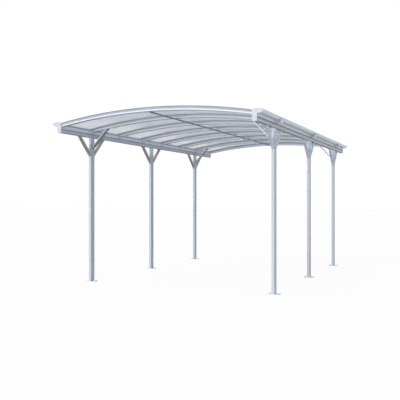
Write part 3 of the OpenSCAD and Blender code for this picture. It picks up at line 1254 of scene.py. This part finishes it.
@dataclass
class RoofSheets:
    """The hollow roof sheets with their seals, end channels and closing strips."""

    arc: RoofArc
    seal_w: float = 2.4 * MM
    seal_h: float = 2 * MM
    seal_share: float = 0.985
    seal_steps: int = 48
    eave_seal_h: float = 11 * MM
    eave_seal_t: float = 2.4 * MM
    eave_seal_drop: float = 15 * MM
    eave_seal_play: float = 2 * MM
    channel_depth: float = 26 * MM
    channel_wall: float = 1.3 * MM
    channel_ease: float = 0.78 * MM
    channel_play: float = 0.4 * MM
    channel_end_play: float = 8 * MM

    def dress(self) -> None:
        """Finishes the sheets and the closing strips."""
        dress("roof_panel_", SHEET_MILK.material())
        dress("_eave_closers", CLOSER_COAT.material())

    def build(self) -> list[Object]:
        """Builds the seals and the end channels.

        Returns:
            The new pieces.
        """
        rubber, coat = SEAL_RUBBER.material(), STRAP_COAT.material()
        parts = (
            (self.channel, self.channel_places, "sheet_end_channels", coat),
            (self.eave_seal, self.eave_seal_places, "eave_seals", rubber),
            (self.seal_pair, self.seal_places, "sheet_seals", rubber),
        )
        return [
            fit(model(), places(), name, Slot.CLOSER, material)
            for model, places, name, material in parts
        ]

    def clear_width(self) -> float:
        """Gives the sheet's width that shows between two arches' flanges."""
        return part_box("rafter_2")[0].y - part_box("rafter_1")[1].y

    def middles(self) -> list[float]:
        """Gives the middle of each sheet along the length."""
        return [middle_of(name).y for name in nodes_with("roof_panel_")]

    def faces(self) -> Span:
        """Gives the radius of the sheets' lower and upper faces."""
        return self.arc.depths("roof_panel_1")

    def seal_pair(self) -> Object:
        """Models the seal strips above and below a sheet, along the arch.

        Returns:
            Both strips in one object, in the middle of the length.
        """
        inner, outer = self.faces()
        radii = (inner - self.seal_h / 2, outer + self.seal_h / 2)
        return join([self.seal_strip(radius) for radius in radii], "seal_pair")

    def seal_places(self) -> list[Matrix]:
        """Sets the pairs of seals out along both edges of each sheet."""
        reach = (self.clear_width() - self.seal_w) / 2
        return [
            Matrix.Translation((0, middle + way * reach, 0))
            for middle in self.middles()
            for way in (-1, 1)
        ]

    def seal_strip(self, radius: float) -> Object:
        """Sweeps one seal's section along the roof arc.

        Args:
            radius: The radius at the middle of the section.

        Returns:
            The strip, in the middle of the length.
        """
        angle = self.arc.half_angle * self.seal_share
        plane = bpy.ops.mesh.primitive_plane_add
        section = (self.seal_h, self.seal_w, 1)
        strip = start(plane, section, size=1, rotation=(0, math.pi / 2, 0))
        strip.matrix_world = self.arc.at(-angle, 0) @ Matrix.Translation((0, 0, radius))
        settle(strip)
        with editing(strip):
            bpy.ops.mesh.select_all(action="SELECT")
            bpy.ops.mesh.spin(
                steps=self.seal_steps,
                angle=2 * angle,
                center=(0, 0, self.arc.axis_z),
                axis=(0, -1, 0),
            )
            bpy.ops.mesh.select_all(action="SELECT")
            bpy.ops.mesh.remove_doubles(threshold=HAIR / 2)
            bpy.ops.mesh.normals_make_consistent(inside=False)
        return strip

    def eave_seal(self) -> Object:
        """Models an eave seal: a flat strip with eased edges and a rib, facing -X.

        Returns:
            The seal, with its back at x 0 and its upper edge at z 0.
        """
        thick = self.eave_seal_t
        size = (thick, self.clear_width() - self.eave_seal_play, self.eave_seal_h)
        seal = start_block(size, (-thick / 2, 0, -self.eave_seal_h / 2))
        with editing(seal):
            pick_faces(lambda middle, normal: normal.x < -0.9)
            bpy.ops.mesh.inset(thickness=thick)
            bpy.ops.mesh.inset(thickness=thick, depth=-thick / 3)
            pick_edges(lambda a, b: max(a.x, b.x) < -0.9 * thick)
            bpy.ops.mesh.bevel(offset=thick / 4, segments=1)
        return seal

    def eave_seal_places(self) -> list[Matrix]:
        """Sets the eave seals out on the closing strips' inner faces.

        Returns:
            One matrix for each seal.
        """
        places = []
        for side, out in SIDES:
            low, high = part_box(f"{side}_eave_closers")
            x, turn = (high.x, ABOUT_TURN) if out < 0 else (low.x, Matrix())
            z = high.z - self.eave_seal_drop
            places += [Matrix.Translation((x, y, z)) @ turn for y in self.middles()]
        return places

    def channel(self) -> Object:
        """Models an end channel: a box with its hollow open towards the sheet at -X.

        Returns:
            The channel, with its closed side just past x 0.
        """
        inner, outer = self.faces()
        overhang = self.channel_wall + self.channel_play
        width = self.clear_width() - self.channel_end_play
        size = (self.channel_depth, width, outer - inner + 2 * overhang)
        channel = start_block(size, (overhang - self.channel_depth / 2, 0, 0))
        with editing(channel):
            pick_edges(lambda a, b: min(a.x, b.x) > overhang - HAIR)
            bpy.ops.mesh.bevel(offset=self.channel_ease, segments=2)
            pick_faces(lambda middle, normal: normal.x < -0.9)
            bpy.ops.mesh.inset(thickness=self.channel_wall)
            move = (self.channel_depth - self.channel_wall, 0, 0)
            bpy.ops.mesh.extrude_region_move(TRANSFORM_OT_translate={"value": move})
        return channel

    def channel_places(self) -> list[Matrix]:
        """Sets the channels out on both ends of each sheet."""
        radius = sum(self.faces()) / 2
        return [place for y in self.middles() for place in self.arc.both_ends(y, radius)]


# Studio


@dataclass(frozen=True)
class SunLamp:
    """A wide soft lamp far away."""

    name: str
    level: float
    comes_from: Triple
    spread: float

    def add(self) -> None:
        """Adds the lamp, turned so that it shines from its side."""
        rest_selection()
        bpy.ops.object.light_add(type="SUN", location=(0, 0, 6))
        lamp = bpy.context.object
        lamp.name = self.name
        lamp.data.energy = self.level * math.pi
        lamp.data.angle = self.spread
        towards = Vector(self.comes_from)
        lamp.rotation_euler = towards.to_track_quat("Z", "Y").to_euler()


@dataclass(frozen=True)
class PanelLamp:
    """A wide low panel that shines up under the roof from far off."""

    name: str
    level: float
    stands_at: Triple
    aims_at: Triple
    size: Span

    def add(self) -> None:
        """Adds the lamp, as strong as its level at the place it aims at."""
        rest_selection()
        bpy.ops.object.light_add(type="AREA", location=self.stands_at)
        lamp = bpy.context.object
        lamp.name = self.name
        back = Vector(self.stands_at) - Vector(self.aims_at)
        lamp.data.shape = "RECTANGLE"
        lamp.data.size, lamp.data.size_y = self.size
        lamp.data.energy = self.level * math.pi**2 * back.length_squared
        lamp.rotation_euler = back.to_track_quat("Z", "Y").to_euler()


@dataclass
class Studio:
    """The pale floor, the soft light and the camera."""

    floor_size: float = 160.0
    floor_white: float = 0.9
    floor_bounce: Span = (0.66, 0.74)
    bounce_ramp: Span = (1.0, 2.5)
    floor_glow: float = 0.94
    sky_level: float = 0.5
    lamps: tuple[SunLamp | PanelLamp, ...] = (
        SunLamp("key_light", 0.4, (-0.35, -0.35, 0.87), math.radians(30)),
        SunLamp("front_light", 0.11, (-0.15, -0.97, 0.14), math.radians(20)),
        PanelLamp("low_light", 0.29, (-4, -26, 0.6), (0, 0, 2.2), (8, 0.8)),
    )
    camera_at: Triple = (3.6360, -8.7751, 1.1886)
    camera_turn: float = math.radians(25.0135)
    camera_lens: float = 51.776
    frame_px: int = 400
    horizon_px: float = 200.541

    def build(self) -> None:
        """Sets up the floor, the sky, the lamps, the camera and the view."""
        self.floor()
        self.sky()
        for lamp in self.lamps:
            lamp.add()
        self.camera()
        bpy.context.scene.view_settings.view_transform = "Standard"

    def seen_directly(self, board: NodeBoard) -> NodeSocket:
        """Tells camera, glossy and transmitted rays from the rest.

        Args:
            board: The board to add the test to.

        Returns:
            1 for those rays and 0 for others.
        """
        path = board.tree.nodes.new("ShaderNodeLightPath")
        total = path.outputs["Is Camera Ray"]
        for name in ("Is Glossy Ray", "Is Transmission Ray"):
            rays = {0: total, 1: path.outputs[name]}
            total = board.add("ShaderNodeMath", rays, operation="MAXIMUM")
        return total

    def bounce_tone(self, board: NodeBoard) -> NodeSocket:
        """Gives the floor's tone in the light that it sends back, paler on the right."""
        place = board.add("ShaderNodeTexCoord", {}, "Object")
        return board.ramp(board.part(place, "X"), *self.floor_bounce, *self.bounce_ramp)

    def floor(self) -> None:
        """Lays the floor: white where it is seen, greyer in the light it sends back."""
        floor = start(bpy.ops.mesh.primitive_plane_add, size=self.floor_size)
        floor.name = "studio_floor"
        material = bpy.data.materials.new("floor_white")
        material.use_nodes = True
        board = NodeBoard(material.node_tree)
        nodes = board.tree.nodes
        nodes.remove(nodes["Principled BSDF"])
        glow = board.add("ShaderNodeEmission", {})
        white = (self.floor_white, self.floor_white, self.floor_white, 1)
        paper = board.add("ShaderNodeBsdfDiffuse", {"Color": white})
        bounce = board.add("ShaderNodeBsdfDiffuse", {"Color": self.bounce_tone(board)})
        mixed = {"Fac": self.floor_glow, 1: paper, 2: glow}
        seen = board.add("ShaderNodeMixShader", mixed)
        mixed = {"Fac": self.seen_directly(board), 1: bounce, 2: seen}
        surface = board.add("ShaderNodeMixShader", mixed)
        board.fill(nodes["Material Output"], {"Surface": surface})
        floor.data.materials.append(material)

    def sky(self) -> None:
        """Lights the scene evenly from a sky that is white where it is seen."""
        world = bpy.data.worlds.new("studio_sky")
        world.use_nodes = True
        bpy.context.scene.world = world
        board = NodeBoard(world.node_tree)
        level = board.ramp(self.seen_directly(board), self.sky_level, 1.0)
        backdrop = {"Color": (1, 1, 1, 1), "Strength": level}
        board.fill(board.tree.nodes["Background"], backdrop)

    def camera(self) -> None:
        """Stands the level camera where the photograph was taken from."""
        rest_selection()
        bpy.ops.object.camera_add(
            location=self.camera_at, rotation=(math.pi / 2, 0, self.camera_turn)
        )
        camera = bpy.context.object
        camera.name = "photo_camera"
        camera.data.lens = self.camera_lens
        camera.data.shift_y = self.horizon_px / self.frame_px - 0.5
        bpy.context.scene.camera = camera


def main() -> None:
    """Builds the sub-assemblies in order."""
    logging.basicConfig(level=logging.INFO, format="%(name)s: %(message)s")
    Studio().build()
    arc = RoofArc.from_node("rafter_1")
    for assembly in (PostFeet(), Braces(), Eaves(), Arches(arc), RoofSheets(arc)):
        assembly.dress()
        for piece in assembly.build():
            LOG.info("%s is part of %s", piece.name, type(assembly).__name__)


if __name__ == "__main__":
    main()
